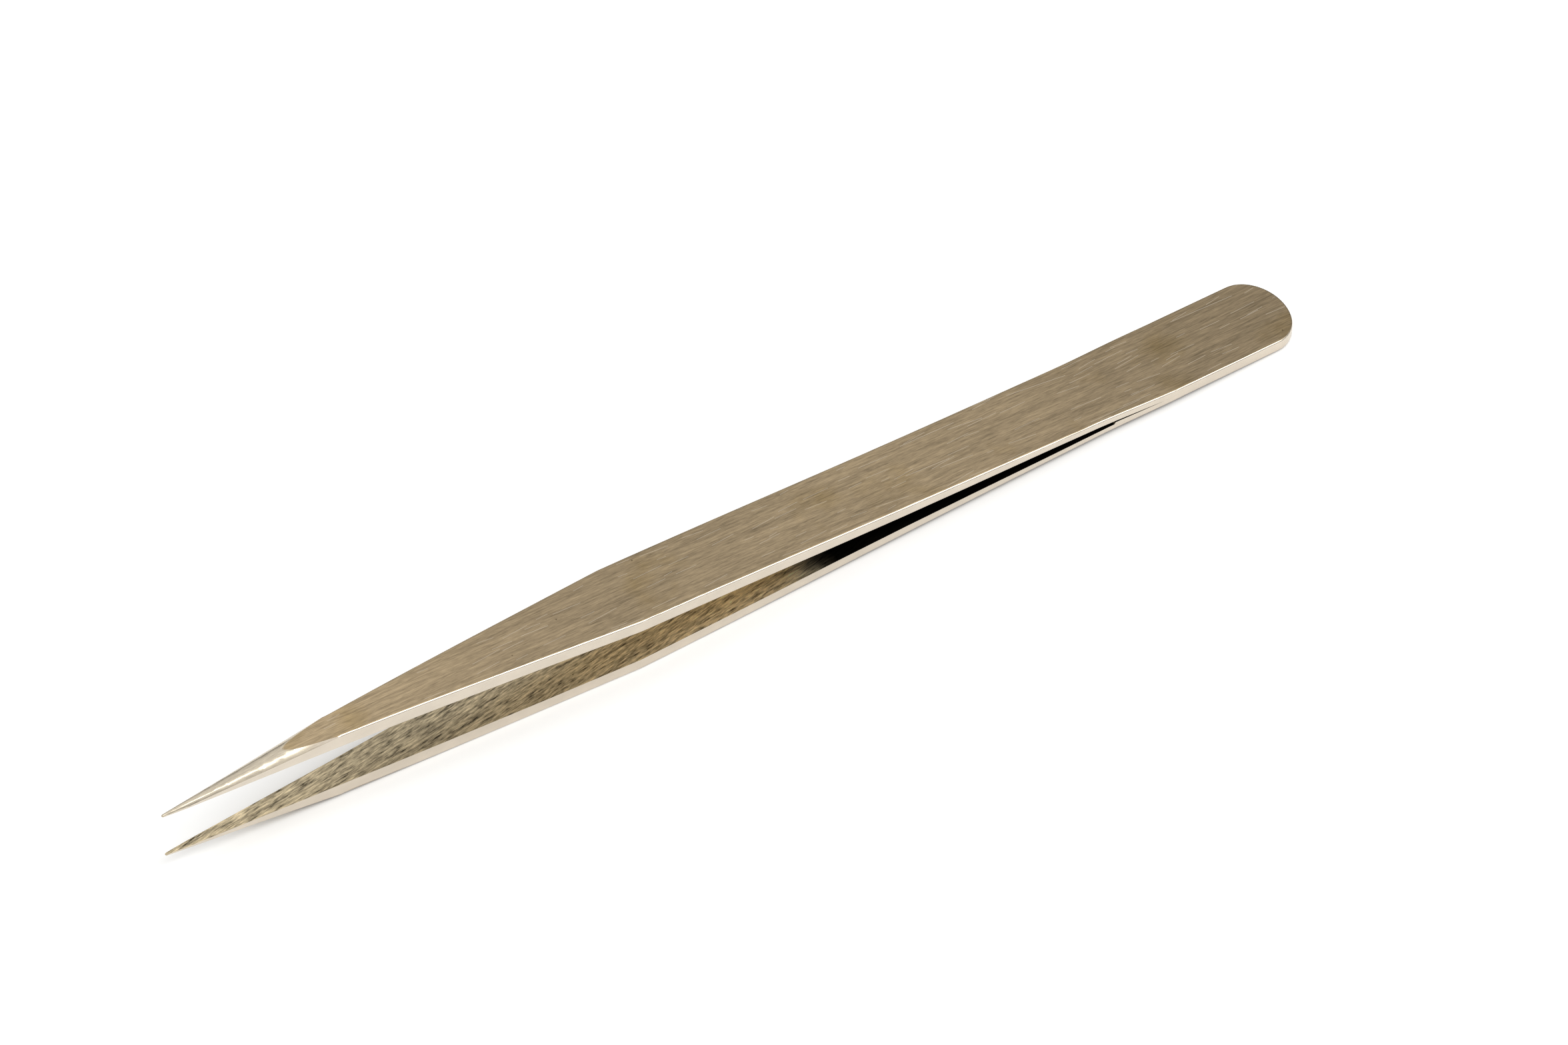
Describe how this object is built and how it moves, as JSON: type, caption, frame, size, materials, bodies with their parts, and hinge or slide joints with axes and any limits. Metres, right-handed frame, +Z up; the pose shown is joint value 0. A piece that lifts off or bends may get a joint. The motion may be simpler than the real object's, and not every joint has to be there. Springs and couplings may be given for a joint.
{
  "type": "precision tweezers",
  "caption": "Slim precision tweezers with needle-fine straight tips: bowed satin steel blades welded together at a rounded head, for picking up and holding very small parts",
  "frame": {"origin": "on the table under the middle of the box round the tweezers, as they lie on the belly of the lower blade and the lower rim of the head", "axes": "+X from the tips to the head, +Y across the blades, +Z up, square to the table"},
  "size_m": [0.13, 0.0094, 0.0088],
  "materials": {
    "satin_steel": "satin, ground along the blade"
  },
  "bodies": {
    "root": {"upper_blade": "satin_steel", "lower_blade": "satin_steel"}
  },
  "joints": []
}
